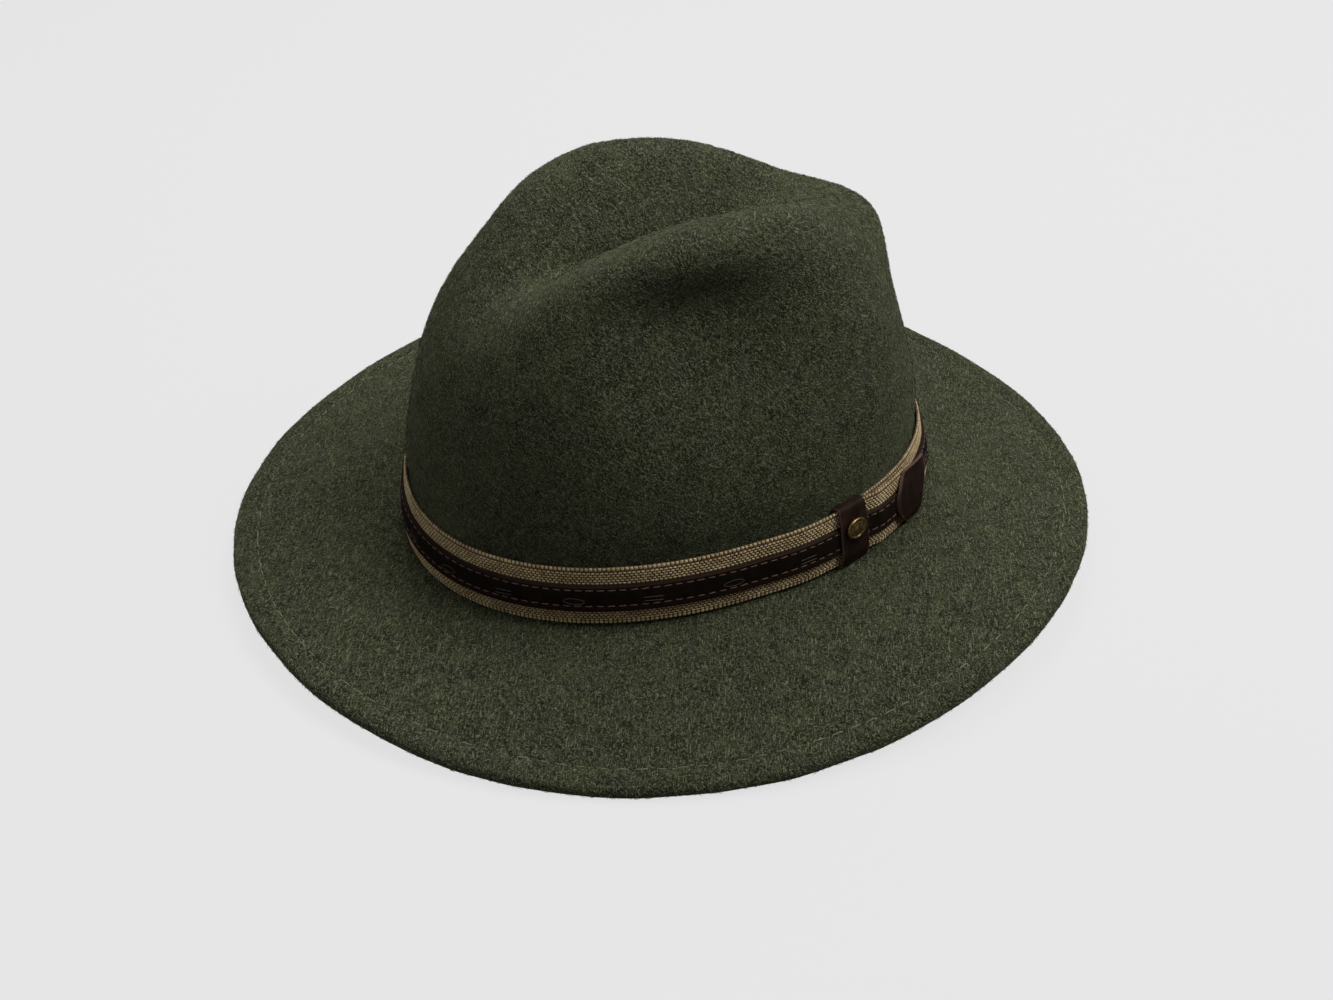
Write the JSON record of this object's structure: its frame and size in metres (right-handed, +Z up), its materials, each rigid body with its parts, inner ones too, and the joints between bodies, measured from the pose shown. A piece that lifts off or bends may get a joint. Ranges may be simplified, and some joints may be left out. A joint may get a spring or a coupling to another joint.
{
  "type": "wool felt hat with a leather-trimmed webbing band",
  "caption": "Wide-brimmed wool felt hat with a creased crown, a stitched brim edge, and a webbing band with a leather strip, loop, end tab and plain stud.",
  "frame": {"origin": "on the surface that the brim rests on, under the middle of the hat's outline", "axes": "+Z up through the crown, -Y towards the front of the hat, +X towards the wearer's left"},
  "size_m": [0.3186, 0.3258, 0.1304],
  "materials": {
    "felt": "dark olive wool felt, mottled, with short lighter fibres lying along the surface",
    "webbing": "tan cotton webbing in a close basket weave with beaded edges",
    "leather": "dark brown smooth leather, slightly glossy, with paler cut edges",
    "brass": "antique brass, polished on its high parts and dark in its low parts"
  },
  "bodies": {
    "root": {"felt_body": "felt", "band_webbing": "webbing", "leather_strip": "leather", "keeper_loop": "leather", "keeper_stud": "brass", "strap_tip": "leather"}
  },
  "joints": []
}
